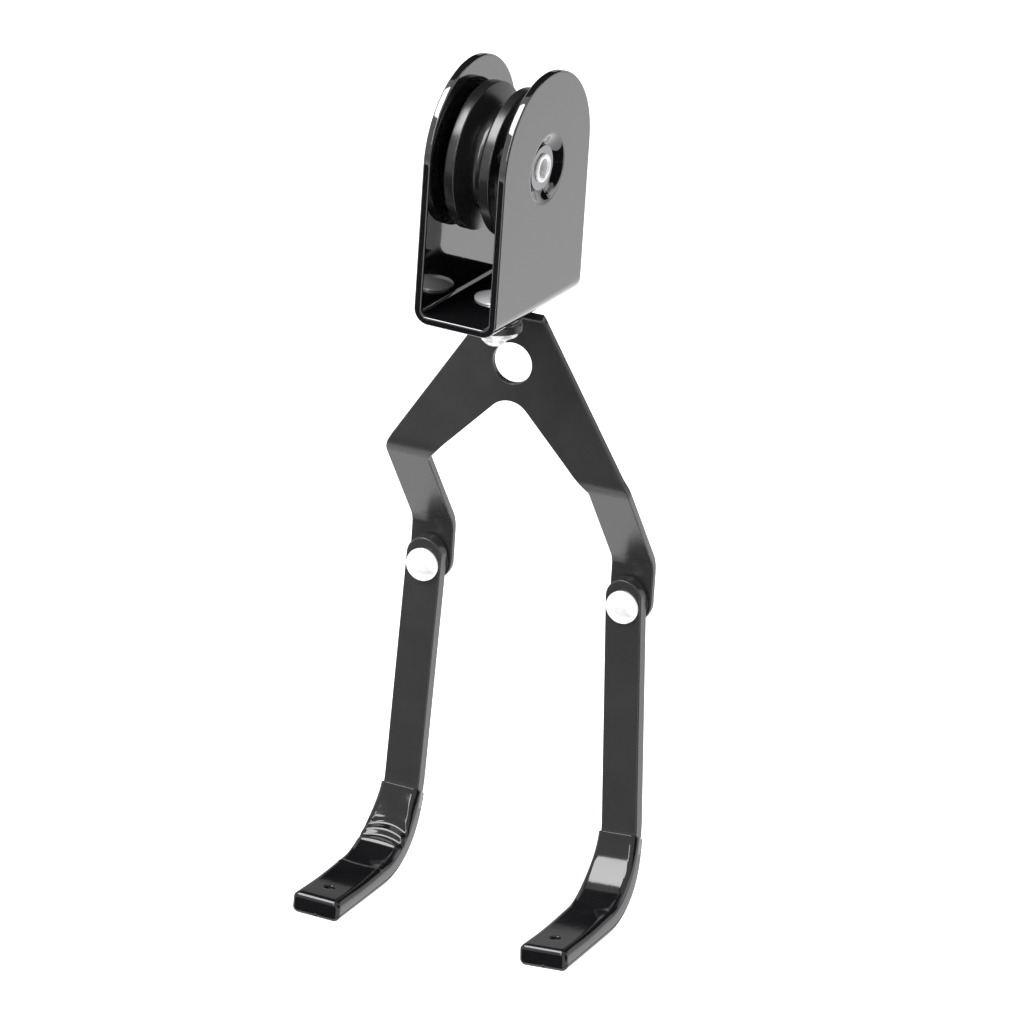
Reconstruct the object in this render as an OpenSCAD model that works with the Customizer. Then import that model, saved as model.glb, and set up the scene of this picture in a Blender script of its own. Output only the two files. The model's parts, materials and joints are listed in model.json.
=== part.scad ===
// Hanging hook block of a bicycle ceiling hoist.
// A grooved pulley turns between the ears of a folded sheet bracket. A forked yoke swivels
// under the bracket, and a flat hook with a moulded cover swings from each of its two legs.
// +X runs across the ears, -Y points where the hooks reach, +Z is up. The origin is the middle
// of the pulley's axle.

/* [Sheet] */
// Thickness of the bracket's and the yoke's sheet
sheet = 2.2; // [2:0.1:2.8]
// Inside radius of the square folds
fold_r = 2; // [1.5:0.1:3]
// Inside radius of the slanting folds in the yoke's legs
leg_fold_r = 3; // [2:0.1:4]

/* [Bracket] */
// How far the ears reach past the wheel, in front, behind and below their round tops
ear_past = 4.3; // [2:0.1:8]
// Height of the centre of the ears' round tops over the axle
ear_rise = 2; // [0:0.5:6]
// Space between the wheel and the floor
floor_gap = 18.6; // [12:0.1:24]
// Rounding of the ears' lower corners, seen from the side
ear_corner_r = 1.5; // [0.5:0.5:3]
// Diameter of the dish pressed into each ear round the axle, at its rim
dish_d = 18; // [17:0.5:22]
// Depth of that dish
dish_depth = 1.9; // [1:0.1:2.2]

/* [Pulley] */
// Outside diameter of the wheel
wheel_d = 39.4; // [34:0.2:46]
// Width of the wheel over its two rims
wheel_w = 13.2; // [11:0.2:16]
// Width of each flat rim
rim_w = 2.9; // [2:0.1:3.5]
// Depth of the rope groove
groove_depth = 6.5; // [5:0.5:7]
// Half the width of the groove's root before it is rounded
root_half = 1.3; // [1:0.1:1.6]
// Rounding of the groove's root
root_round = 1.7; // [1:0.1:1.8]
// Rounding at each edge of the rims
rim_round = 0.5; // [0.2:0.1:0.8]
// Diameter of the wheel's hub
hub_d = 15; // [13:0.5:18]
// How far the hub stays behind each rim
hub_back = 0.3; // [0:0.1:1]
// Depth of the shallow web in each side of the wheel
web_depth = 1.6; // [0.8:0.1:2]
// Height of the rim inside the web, from the wheel's edge
web_rim = 4; // [3:0.5:5]
// Free play of the hub between the ears, both ends together
end_play = 3.2; // [1.5:0.1:4]
// Share of that play that the wheel has slid towards the left ear
slide_share = 0.9; // [0:0.01:0.9]

/* [Axle] */
// Diameter of the sleeve that the wheel turns on
sleeve_d = 9; // [8:0.1:10]
// Outside diameter of the axle rivet's shank
axle_d = 6.4; // [5.8:0.1:7]
// Diameter of the hole in the rivet's rolled end
axle_bore_d = 4.8; // [3.5:0.1:5]
// Depth of that hole
axle_bore_depth = 9; // [4:0.5:14]
// Diameter of the rivet's formed head
axle_head_d = 11.5; // [10:0.5:12.5]
// Height of the rivet's formed head
axle_head_h = 1.6; // [1:0.1:2.5]
// Height of that head's straight rim
axle_head_rim = 0.5; // [0.3:0.1:0.8]
// Diameter of the rolled ring at the rivet's other end
ring_d = 7.8; // [7.6:0.1:9]
// Height of the rolled ring
ring_h = 0.7; // [0.6:0.1:1.6]
// Diameter of the washer under the rolled ring
axle_washer_d = 12; // [10:0.2:13]
// Thickness of that washer
axle_washer_t = 0.4; // [0.4:0.1:0.8]

/* [Swivel] */
// Diameter of the swivel rivet's shank
swivel_d = 5; // [4.5:0.1:6]
// Diameter of the rivet's low head on the bracket's floor
swivel_head_d = 12; // [10:0.5:13]
// Height of that head
swivel_head_h = 1.6; // [1:0.1:2.5]
// Height of that head's straight rim
swivel_head_rim = 0.5; // [0.3:0.1:0.8]
// Diameter of the peened end under the yoke
peen_d = 6.8; // [6.4:0.1:8]
// Height of the peened end
peen_h = 3.6; // [2:0.1:4.5]
// Height of the peened end's straight rim
peen_rim = 1.8; // [0.5:0.1:1.8]
// Diameter of the two washers between bracket and yoke
spacer_d = 12; // [10:0.5:14]
// Thickness of each of those washers
spacer_t = 1.6; // [1.2:0.1:2.4]
// Diameter of the washer under the yoke
lower_washer_d = 12.4; // [11:0.2:14]
// Thickness of that washer
lower_washer_t = 1.7; // [1:0.1:2]

/* [Yoke] */
// Margin of the yoke's tongue round the washer under it
tongue_margin = 1.5; // [1:0.1:3]
// Space between that washer and the plate behind it
plate_gap = 6.6; // [5:0.1:9]
// Depth of the knees under the yoke's top
knee_drop = 45.7; // [42:0.1:56]
// Depth of the two pivots under the knees
leg_drop = 38.4; // [34:0.1:46]
// Half the distance between the two pivots
pivot_half = 28.9; // [26:0.1:36]
// Width of each leg
leg_w = 12; // [11.6:0.1:14]
// How far the lugs' front faces lie behind the plate's
lug_back = 22.4; // [18:0.2:26]
// Height of the lower folds over the pivots
lug_h = 11; // [9:0.5:14]
// Radius of the round hole
hole_r = 5.6; // [4.5:0.1:6]
// Depth of the round hole's centre under the yoke's top
hole_drop = 16.3; // [15:0.1:18]
// Depth of the notch's sharp peak under the hole's centre
notch_drop = 7.7; // [6.8:0.1:9]
// Rounding of the notch
notch_r = 6.5; // [5:0.5:9]
// How far the knees' inner corners lie under the outer ones
knee_skew = 2.2; // [0:0.1:3]
// Rounding of the knees' corners
knee_r = 2; // [1:0.5:4]

/* [Hooks] */
// Width of the flat bar
bar_w = 9.7; // [9.2:0.1:11]
// Thickness of the flat bar
bar_t = 4.2; // [3.8:0.1:5]
// Height of the bar's round top over the pivot
bar_top = 7.4; // [6.8:0.1:9]
// Depth of the forward arm's middle under the pivot
hook_drop = 82.5; // [78:0.1:100]
// Reach of the cover's tip in front of the bar's front face
hook_reach = 49.2; // [46:0.2:60]
// Inside radius of the bar's bend
bar_bend_r = 15.5; // [14:0.5:18]

/* [Covers] */
// Wall of the cover over the bar's two faces
face_wall = 0.4; // [0.4:0.1:1]
// Wall of the cover beside the bar
side_wall = 0.8; // [0.6:0.1:1.2]
// Extra thickness of the cover inside the bend
cover_pad = 1.6; // [1:0.1:2.4]
// Length of the cover above the start of the bend
cover_lap = 1.5; // [0.4:0.1:3]
// Width of the cover at its tip
tip_w = 14; // [13:0.2:16]
// Rounding of the cover's long edges and of its end
cover_round = 1.5; // [1:0.1:2]
// Length of solid plastic past the bar's end
tip_solid = 2.4; // [2:0.1:4]
// Diameter of the small hole near the tip
vent_d = 3; // [2:0.1:4]
// Distance of that hole's middle from the tip
vent_back = 8.8; // [8:0.2:14]
// Height of the folds in the left cover
crease_h = 0.7; // [0.3:0.1:1]

/* [Rivets and washers] */
// Diameter of the hook rivets' shanks
shank_d = 5; // [4:0.1:5.6]
// Diameter of their low domed heads
head_d = 9.1; // [8.6:0.1:9.4]
// Height of those heads
head_h = 2; // [1.5:0.1:3]
// Height of the heads' straight rims
head_rim = 0.6; // [0.4:0.1:0.8]
// Diameter of the washers in front of and behind the lugs
hook_washer_d = 10.5; // [10:0.1:12]
// Thickness of those washers
hook_washer_t = 0.7; // [0.5:0.1:1]
// Diameter of the peened ends behind the lugs
hook_peen_d = 7.2; // [6.6:0.1:8]
// Height of those peened ends
hook_peen_h = 1.4; // [1:0.1:2]

/* [Fits] */
// Radial clearance of a piece that turns on a shaft
run_fit = 0.08; // [0.03:0.01:0.1]
// Radial clearance of a piece that is clamped on a shaft
still_fit = 0.05; // [0.03:0.01:0.1]
// Clearance between a cover and the bar inside it
cover_fit = 0.05; // [0.02:0.01:0.1]
// Free play of each hook between its washer and its rivet's head
swing_play = 0.1; // [0.05:0.05:0.3]
// Gap round the axle's washer on the floor of the dish
dish_fit = 0.15; // [0.1:0.05:0.3]

/* [Rest pose] */
// Angle that the yoke is turned under the bracket, in degrees
yoke_turn = 4; // [0:0.5:10]
// Angle that the left hook hangs outwards from straight down, in degrees
left_splay = 2.4; // [0:0.1:6]
// Angle that the right hook hangs outwards from straight down, in degrees
right_splay = 3; // [0:0.1:6]

/* [Hidden] */
$fn = 64;

// One overrun serves every cut
over = 1;
left = -1;
right = 1;
quarter = 90;

// Pulley
wheel_r = wheel_d / 2;
rim_half = wheel_w / 2;
hub_half = rim_half - hub_back;
groove_half = rim_half - rim_w;
wheel_x = -slide_share * end_play / 2;

// Bracket, built round the wheel
dish_face = hub_half + end_play / 2;
inner_half = dish_face + dish_depth;
outer_half = inner_half + sheet;
ear_r = wheel_r + ear_past;
ear_top = ear_rise + ear_r;
floor_z = -wheel_r - floor_gap - sheet;
dish_floor_d = axle_washer_d + 2 * dish_fit;
seat_half = outer_half - dish_depth;

// Rounding of the axle's rolled ring, of the smaller of its height and half its wall
roll_share = 0.9;

// Swivel stack, from the bracket's floor down
yoke_top = floor_z - 2 * spacer_t;
tongue_z = yoke_top - sheet;
peen_z = tongue_z - lower_washer_t;

// Yoke
tongue_r = lower_washer_d / 2 + tongue_margin;
plate_y = lower_washer_d / 2 + plate_gap;
knee_z = yoke_top - knee_drop;
pivot_z = knee_z - leg_drop;
lug_z = pivot_z + lug_h;
lug_y = plate_y + lug_back;
hole_z = yoke_top - hole_drop;
notch_z = hole_z - notch_drop;
leg_in = pivot_half - leg_w / 2;
leg_out = pivot_half + leg_w / 2;
lug_end = pivot_z - leg_w / 2;

// Hooks: the bar's back face lies on the washer in front of the lug
bar_y = lug_y - hook_washer_t;
bend_mid_r = bar_bend_r + bar_t / 2;
bend_z = bend_mid_r - hook_drop;
arm_run = hook_reach - tip_solid - bar_bend_r;
top_arc_z = bar_top - bar_w / 2;

// Covers: s runs along the bar's middle, from the cover's open end to its tip
cover_top_w = bar_w + 2 * side_wall;
bend_len = bend_mid_r * quarter * PI / 180;
cover_len = cover_lap + bend_len + hook_reach - bar_bend_r;
half_t = bar_t / 2 + face_wall;
tip_round_share = 0.8;
folded_share = 0.36;
folded_steps = 26;
arm_steps = 14;
tip_steps = 4;
corner_steps = 3;
face_steps = 6;

// Folds of the left cover. The first three numbers of a row are shares of its length: the
// place at the middle, how much lower the fold ends at the sides, and the length of a flank.
// The fourth is the share of crease_h that it rises.
crease_shares = [
    [0.140, 0.050, 0.026, 1.0],
    [0.238, 0.038, 0.024, 0.9],
    [0.275, 0.026, 0.020, -0.7],
    [0.312, 0.014, 0.020, 0.7],
    [0.570, -0.020, 0.024, 0.3]
];

// Corners of an outline rounded as arcs. Each point of an outline is [x, y, radius].
arc_steps = 10;
function flat(p) = [p[0], p[1]];
function unit(v) = v / norm(v);
function turned(v, a) = [v[0] * cos(a) - v[1] * sin(a), v[0] * sin(a) + v[1] * cos(a)];
function turn_between(a, b) = atan2(a[0] * b[1] - a[1] * b[0], a * b);
function corner_arc(before, at, after, r) =
    let (
        u = unit(before - at),
        v = unit(after - at),
        half = acos(u * v) / 2,
        middle = at + unit(u + v) * r / sin(half),
        first = at + u * r / tan(half) - middle,
        sweep = turn_between(first, at + v * r / tan(half) - middle)
    )
    [for (i = [0:arc_steps]) middle + turned(first, sweep * i / arc_steps)];
function rounded(outline) =
    let (n = len(outline))
    [for (i = [0:n - 1])
        each outline[i][2] > 0
            ? corner_arc(
                flat(outline[(i + n - 1) % n]), flat(outline[i]), flat(outline[(i + 1) % n]),
                outline[i][2])
            : [flat(outline[i])]];

// The outline of a strip bent along a path. Each point of the path is [x, y, inside radius],
// and the strip's thickness t lies to the left of the way the path runs.
function heading(path, i) = unit(flat(path[i + 1]) - flat(path[i]));
function across(path, i, t) =
    let (
        before = heading(path, max(i - 1, 0)),
        after = heading(path, min(i, len(path) - 2)),
        middle = unit(before + after)
    )
    flat(path[i]) + t * [-middle[1], middle[0]] / (middle * after);
function turns_left(path, i) =
    i > 0 && i < len(path) - 1 && cross(heading(path, i - 1), heading(path, i)) > 0;
function strip(path, t) =
    let (n = len(path) - 1)
    concat(
        [for (i = [0:n]) [each flat(path[i]), path[i][2] + (turns_left(path, i) ? t : 0)]],
        [for (i = [n:-1:0])
            [each across(path, i, t),
                path[i][2] + (path[i][2] > 0 && !turns_left(path, i) ? t : 0)]]
    );

// Stands a flat outline up: side_view draws in Y and Z, front_view in X and Z
module side_view(width) {
    rotate([90, 0, 90])
        linear_extrude(height = width, center = true)
            children();
}

module front_view(depth) {
    rotate([90, 0, 0])
        linear_extrude(height = depth, center = true)
            children();
}

// A strip of metal seen on its edge. Each length draws itself and sets the next at its end.
// The strip runs along X with its thickness t to the left, and each fold turns it left.
module run(length, t) {
    square([length, t]);
    translate([length, 0])
        children();
}

module fold(r, t) {
    reach = 2 * (r + t);
    translate([0, r + t]) {
        intersection() {
            difference() {
                circle(r + t);
                circle(r);
            }
            translate([0, -reach])
                square(reach);
        }
        rotate(quarter)
            translate([0, -r - t])
                children();
    }
}

// A round hole's cutter along Z, past both faces
module drill(r, low, high) {
    translate([0, 0, low - over])
        cylinder(r = r, h = high - low + 2 * over);
}

// A plain washer along Z
module washer(d, t, shaft_d) {
    difference() {
        cylinder(d = d, h = t);
        drill(shaft_d / 2 + still_fit, 0, t);
    }
}

// A low domed head on z = 0: a straight rim under a shallow cap
module domed_head(d, h, rim) {
    cap_h = h - rim;
    ball_r = (d * d / 4 + cap_h * cap_h) / (2 * cap_h);
    intersection() {
        translate([0, 0, h - ball_r])
            sphere(r = ball_r);
        cylinder(d = d, h = h);
    }
}

// Z along the axle, towards the right ear
module along_axle() {
    rotate([0, quarter, 0])
        children();
}

// The yoke and all that hangs from it, turned about the swivel
module at_yoke() {
    rotate([0, 0, yoke_turn])
        children();
}

// One hook: the pivot at z = 0, the bar's back face at y = 0
module at_hook(side) {
    at_yoke()
        translate([side * pivot_half, bar_y, pivot_z])
            rotate([0, side == left ? left_splay : -right_splay, 0])
                children();
}

// One pivot: Z to the front, z = 0 on the lug's front face
module at_pivot(side) {
    at_yoke()
        translate([side * pivot_half, lug_y, pivot_z])
            rotate([quarter, 0, 0])
                children();
}

// The dish in an ear: a cone that narrows inwards and is dish_d wide at x = 0. It starts that
// much before x = 0.
module dish(side, before) {
    rotate([0, -side * quarter, 0])
        translate([0, 0, -before])
            cylinder(
                d1 = dish_d + (dish_d - dish_floor_d) * before / dish_depth,
                d2 = dish_floor_d,
                h = before + dish_depth);
}

module bracket() {
    wall_run = ear_top - floor_z - fold_r - sheet;
    floor_run = 2 * (inner_half - fold_r);
    color("#141416")
        difference() {
            union() {
                intersection() {
                    front_view(2 * (ear_r + over))
                        translate([-outer_half, ear_top])
                            rotate(-quarter)
                                run(wall_run, sheet)
                                    fold(fold_r, sheet)
                                        run(floor_run, sheet)
                                            fold(fold_r, sheet)
                                                run(wall_run, sheet);
                    side_view(2 * (outer_half + over))
                        ear_outline();
                }
                for (side = [left, right])
                    translate([side * inner_half, 0, 0])
                        dish(side, sheet / 2);
            }
            for (side = [left, right])
                translate([side * outer_half, 0, 0])
                    dish(side, over);
            along_axle()
                drill(axle_d / 2 + still_fit, -outer_half, outer_half);
            drill(swivel_d / 2 + still_fit, floor_z, floor_z + sheet);
        }
}

module ear_outline() {
    translate([0, ear_rise])
        circle(r = ear_r);
    polygon(rounded([
        [-ear_r, ear_rise, 0],
        [-ear_r, floor_z, ear_corner_r],
        [ear_r, floor_z, ear_corner_r],
        [ear_r, ear_rise, 0]
    ]));
}

// Half of the wheel's section, as radius and place along the axle
module wheel_section() {
    web_x = rim_half - web_depth;
    web_r = wheel_r - web_rim;
    root_r = wheel_r - groove_depth;
    bore_r = sleeve_d / 2 + run_fit;
    polygon(rounded([
        [bore_r, -hub_half, 0],
        [hub_d / 2, -hub_half, rim_round],
        [hub_d / 2, -web_x, 0],
        [web_r, -web_x, 0],
        [web_r, -rim_half, 0],
        [wheel_r, -rim_half, rim_round],
        [wheel_r, -groove_half, rim_round],
        [root_r, -root_half, root_round],
        [root_r, root_half, root_round],
        [wheel_r, groove_half, rim_round],
        [wheel_r, rim_half, rim_round],
        [web_r, rim_half, 0],
        [web_r, web_x, 0],
        [hub_d / 2, web_x, 0],
        [hub_d / 2, hub_half, rim_round],
        [bore_r, hub_half, 0]
    ]));
}

module pulley_wheel() {
    color("#1c1c1e")
        translate([wheel_x, 0, 0])
            along_axle()
                rotate_extrude()
                    wheel_section();
}

module axle_sleeve() {
    color("#a8abb0")
        along_axle()
            translate([0, 0, -dish_face])
                difference() {
                    cylinder(d = sleeve_d, h = 2 * dish_face);
                    drill(axle_d / 2 + still_fit, 0, 2 * dish_face);
                }
}

// A half-hollow rivet: a solid head on the left ear, a rolled ring on the right one
module axle_rivet() {
    bore_r = axle_bore_d / 2;
    ring_r = ring_d / 2;
    roll_r = roll_share * min(ring_h, (ring_r - bore_r) / 2);
    ring_z = seat_half + axle_washer_t;
    color("#d4d6da")
        along_axle()
            difference() {
                union() {
                    translate([0, 0, -seat_half])
                        cylinder(d = axle_d, h = seat_half + ring_z);
                    translate([0, 0, -seat_half])
                        mirror([0, 0, 1])
                            domed_head(axle_head_d, axle_head_h, axle_head_rim);
                    translate([0, 0, ring_z])
                        rotate_extrude()
                            polygon(rounded([
                                [bore_r, 0, 0],
                                [ring_r, 0, 0],
                                [ring_r, ring_h, roll_r],
                                [bore_r, ring_h, roll_r]
                            ]));
                }
                translate([0, 0, ring_z + ring_h - axle_bore_depth])
                    cylinder(r = bore_r, h = axle_bore_depth + over);
            }
}

module axle_washer() {
    color("#8f9196")
        along_axle()
            translate([0, 0, seat_half])
                washer(axle_washer_d, axle_washer_t, axle_d);
}

module swivel_rivet() {
    color("#d4d6da") {
        translate([0, 0, floor_z + sheet])
            domed_head(swivel_head_d, swivel_head_h, swivel_head_rim);
        translate([0, 0, peen_z])
            cylinder(d = swivel_d, h = floor_z + sheet - peen_z);
        translate([0, 0, peen_z])
            mirror([0, 0, 1])
                domed_head(peen_d, peen_h, peen_rim);
    }
}

module swivel_upper_washer() {
    color("#b9bcc2")
        translate([0, 0, floor_z - spacer_t])
            washer(spacer_d, spacer_t, swivel_d);
}

module swivel_middle_washer() {
    color("#b9bcc2")
        translate([0, 0, floor_z - 2 * spacer_t])
            washer(spacer_d, spacer_t, swivel_d);
}

module swivel_lower_washer() {
    color("#d4d6da")
        translate([0, 0, peen_z])
            washer(lower_washer_d, lower_washer_t, swivel_d);
}

// The yoke is one blank: the folds are seen from the side, the fork from the front, and the
// tongue's round end from above
module yoke() {
    depth = lug_y + sheet + over;
    color("#17181a")
        at_yoke()
            difference() {
                intersection() {
                    side_view(2 * (leg_out + over))
                        polygon(rounded(strip([
                            [-tongue_r, tongue_z, 0],
                            [plate_y, tongue_z, fold_r],
                            [plate_y, knee_z, leg_fold_r],
                            [lug_y, lug_z, leg_fold_r],
                            [lug_y, lug_end - over, 0]
                        ], sheet)));
                    front_view(2 * depth)
                        yoke_front();
                    translate([0, 0, lug_end - over])
                        linear_extrude(height = yoke_top - lug_end + 2 * over) {
                            circle(r = tongue_r);
                            translate([-leg_out - over, 0])
                                square([2 * (leg_out + over), depth]);
                        }
                }
                drill(swivel_d / 2 + run_fit, tongue_z, yoke_top);
                translate([0, plate_y, hole_z])
                    rotate([-quarter, 0, 0])
                        drill(hole_r, 0, sheet);
                for (side = [left, right])
                    translate([side * pivot_half, lug_y, pivot_z])
                        rotate([-quarter, 0, 0])
                            drill(shank_d / 2 + still_fit, 0, sheet);
            }
}

module yoke_front() {
    polygon(rounded([
        [-tongue_r, yoke_top + over, 0],
        [-tongue_r, tongue_z, 0],
        [-leg_out, knee_z, knee_r],
        [-leg_out, pivot_z, 0],
        [-leg_in, pivot_z, 0],
        [-leg_in, knee_z - knee_skew, knee_r],
        [0, notch_z, notch_r],
        [leg_in, knee_z - knee_skew, knee_r],
        [leg_in, pivot_z, 0],
        [leg_out, pivot_z, 0],
        [leg_out, knee_z, knee_r],
        [tongue_r, tongue_z, 0],
        [tongue_r, yoke_top + over, 0]
    ]));
    for (side = [left, right])
        translate([side * pivot_half, pivot_z])
            circle(d = leg_w);
}

// The bent bar, grown by e on every face, from its end inside the cover to its round top
module bar_strip(e) {
    side_view(bar_w + 2 * e)
        translate([-bar_t - hook_reach + tip_solid - e, -hook_drop - bar_t / 2 - e])
            run(arm_run + e, bar_t + 2 * e)
                fold(bar_bend_r - e, bar_t + 2 * e)
                    run(bar_top - bend_z, bar_t + 2 * e);
}

module hook_bar(side) {
    depth = bar_t + hook_reach + over;
    color("#1b1c1e")
        at_hook(side)
            difference() {
                intersection() {
                    bar_strip(0);
                    front_view(2 * depth) {
                        translate([0, top_arc_z])
                            circle(d = bar_w);
                        translate([-bar_w / 2 - over, -hook_drop - bar_t])
                            square([bar_w + 2 * over, hook_drop + bar_t + top_arc_z]);
                    }
                }
                rotate([quarter, 0, 0])
                    drill(shank_d / 2 + run_fit, 0, bar_t);
            }
}

// The cover is lofted along the bar's middle. A section is a round-cornered oblong that widens
// towards the tip and is thicker inside the bend.
function bend_angle(s) = max(0, min(quarter, (s - cover_lap) / bend_mid_r * 180 / PI));
function mid_point(s) =
    let (a = bend_angle(s), before = min(0, s - cover_lap), after = max(0, s - cover_lap - bend_len))
    [
        -bar_t / 2 - bend_mid_r + bend_mid_r * cos(a) - after,
        bend_z - bend_mid_r * sin(a) - before
    ];
function inward(s) = [-cos(bend_angle(s)), sin(bend_angle(s))];
function half_width(s) = (cover_top_w + (tip_w - cover_top_w) * s / cover_len) / 2;
function pad(s) = cover_pad * pow(sin(180 * min(1, s / (cover_lap + bend_len))), 2);
function crease(s, u, rise) =
    rise == 0 ? 0 : rise * [for (c = crease_shares)
        c[3] * exp(-pow((s / cover_len - c[0] - c[1] * pow(u / half_width(s), 2)) / c[2], 2))
    ] * [for (c = crease_shares) 1];
function corner(s, inset, rise, along, up) =
    let (
        r = cover_round - inset,
        u0 = half_width(s) - inset - r,
        v0 = (up > 0 ? half_t + pad(s) : half_t) - inset - r,
        first = up > 0 ? (along > 0 ? 0 : quarter) : (along > 0 ? -quarter : -2 * quarter)
    )
    [for (i = [0:corner_steps])
        let (a = first + quarter * i / corner_steps, u = along * u0 + r * cos(a))
        [u, up * v0 + r * sin(a) + (up > 0 ? sin(a) * crease(s, u, rise) : 0)]];
function inner_face(s, inset, rise) =
    let (u0 = half_width(s) - cover_round, v = half_t + pad(s) - inset)
    [for (i = [1:face_steps - 1])
        let (u = u0 - 2 * u0 * i / face_steps)
        [u, v + crease(s, u, rise)]];
function section(s, inset, rise) = concat(
    corner(s, inset, rise, 1, -1),
    corner(s, inset, rise, 1, 1),
    inner_face(s, inset, rise),
    corner(s, inset, rise, -1, 1),
    corner(s, inset, rise, -1, -1)
);
function placed(s, inset, rise) =
    let (m = mid_point(s), n = inward(s))
    [for (p = section(s, inset, rise)) [p[0], m[0] + n[0] * p[1], m[1] + n[1] * p[1]]];

module cover_loft(rise) {
    round_r = tip_round_share * cover_round;
    body_len = cover_len - round_r;
    rings = concat(
        [for (i = [0:folded_steps]) placed(body_len * folded_share * i / folded_steps, 0, rise)],
        [for (i = [1:arm_steps])
            placed(body_len * (folded_share + (1 - folded_share) * i / arm_steps), 0, rise)],
        [for (i = [1:tip_steps])
            let (a = quarter * i / tip_steps)
            placed(body_len + round_r * sin(a), round_r - round_r * cos(a), 0)]
    );
    m = len(rings);
    n = len(rings[0]);
    polyhedron(
        points = [for (ring = rings) each ring],
        faces = concat(
            [[for (j = [0:n - 1]) j]],
            [for (i = [0:m - 2], j = [0:n - 1])
                each [
                    [i * n + j, (i + 1) * n + j, i * n + (j + 1) % n],
                    [(i + 1) * n + j, (i + 1) * n + (j + 1) % n, i * n + (j + 1) % n]
                ]],
            [[for (j = [n - 1:-1:0]) (m - 1) * n + j]]
        ),
        convexity = 4
    );
}

module hook_cover(side, rise) {
    vent_y = -bar_t - hook_reach + vent_back;
    color("#0e0e10")
        at_hook(side)
            difference() {
                cover_loft(rise);
                bar_strip(cover_fit);
                translate([0, vent_y, -hook_drop])
                    cylinder(d = vent_d, h = half_t + cover_pad + over);
            }
}

// A solid rivet: the domed head in front of the bar, the peened end behind the lug
module hook_rivet(side) {
    back = -sheet - hook_washer_t;
    front = hook_washer_t + bar_t + swing_play;
    color("#d9dbdf")
        at_pivot(side) {
            translate([0, 0, back])
                cylinder(d = shank_d, h = front - back);
            translate([0, 0, front])
                domed_head(head_d, head_h, head_rim);
            translate([0, 0, back])
                mirror([0, 0, 1])
                    domed_head(hook_peen_d, hook_peen_h, head_rim);
        }
}

module hook_pivot_washer(side) {
    color("#2a2b2d")
        at_pivot(side)
            washer(hook_washer_d, hook_washer_t, shank_d);
}

module hook_back_washer(side) {
    color("#c3c5ca")
        at_pivot(side)
            translate([0, 0, -sheet - hook_washer_t])
                washer(hook_washer_d, hook_washer_t, shank_d);
}

bracket();
pulley_wheel();
axle_sleeve();
axle_rivet();
axle_washer();
swivel_rivet();
swivel_upper_washer();
swivel_middle_washer();
swivel_lower_washer();
yoke();
hook_bar(left);  // hook_bar_left
hook_bar(right);  // hook_bar_right
hook_cover(left, crease_h);  // hook_cover_left
hook_cover(right, 0);  // hook_cover_right
hook_rivet(left);  // hook_rivet_left
hook_rivet(right);  // hook_rivet_right
hook_pivot_washer(left);  // hook_pivot_washer_left
hook_pivot_washer(right);  // hook_pivot_washer_right
hook_back_washer(left);  // hook_back_washer_left
hook_back_washer(right);  // hook_back_washer_right
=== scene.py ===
# %% [markdown]
# # The hanging hook block of a bicycle hoist
# A grooved pulley turns between the two ears of a folded sheet bracket. Under the bracket hangs
# a forked yoke, and from its legs swing two flat hooks with moulded covers. Nearly all of it is
# black, so the picture is made by reflections: long soft highlights on gloss paint, a duller
# sheen on powder coat, and small bright rivets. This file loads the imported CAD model, lays
# finer pieces over it, and gives every surface its finish.

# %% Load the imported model
import json
import math

import bmesh
import bpy
import numpy as np
from mathutils import Matrix, Vector


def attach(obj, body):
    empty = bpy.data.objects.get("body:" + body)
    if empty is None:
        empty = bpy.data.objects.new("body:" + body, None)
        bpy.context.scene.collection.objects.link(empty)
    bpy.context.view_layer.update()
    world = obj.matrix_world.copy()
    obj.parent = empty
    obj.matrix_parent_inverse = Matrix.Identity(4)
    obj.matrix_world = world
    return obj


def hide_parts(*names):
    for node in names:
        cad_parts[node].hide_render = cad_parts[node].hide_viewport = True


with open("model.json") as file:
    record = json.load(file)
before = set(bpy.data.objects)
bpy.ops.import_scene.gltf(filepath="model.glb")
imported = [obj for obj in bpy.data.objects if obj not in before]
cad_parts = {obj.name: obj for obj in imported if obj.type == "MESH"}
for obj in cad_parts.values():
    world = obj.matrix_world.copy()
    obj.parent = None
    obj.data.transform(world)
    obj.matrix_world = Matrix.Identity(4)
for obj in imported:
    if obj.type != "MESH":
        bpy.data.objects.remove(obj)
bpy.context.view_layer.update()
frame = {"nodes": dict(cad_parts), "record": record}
scene = bpy.context.scene
scene.view_settings.view_transform = "Standard"
MM = 0.001

# %% [markdown]
# ## The camera
# The photograph was taken with a long lens from a little above and to the right. Its angles
# were found by fitting the model's outline to the picture. A long lens far away keeps the near
# hook and the far one almost the same size. The roll is small, and it comes from a block that
# didn't hang quite plumb.

# %% Camera
AZIMUTH, ELEVATION, ROLL = 26.37, 20.43, 3.80
TARGET = Vector((8.10, 0.54, -95.76)) * MM
DISTANCE = 3.2
PIXELS_PER_MM = 3.83
FRAME_PIXELS = 1024


def camera_axes(azimuth, elevation, roll):
    """The camera's right, up and back directions."""
    a, e, r = (math.radians(x) for x in (azimuth, elevation, roll))
    right = Vector((math.cos(a), math.sin(a), 0))
    up = Vector((-math.sin(e) * math.sin(a), math.sin(e) * math.cos(a), math.cos(e)))
    back = right.cross(up)
    return (
        right * math.cos(r) + up * math.sin(r),
        up * math.cos(r) - right * math.sin(r),
        back,
    )


def aimed(right, up, back, place):
    """A matrix that looks along minus back from place."""
    turn = Matrix((right, up, back)).transposed()
    return Matrix.Translation(place) @ turn.to_4x4()


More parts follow.
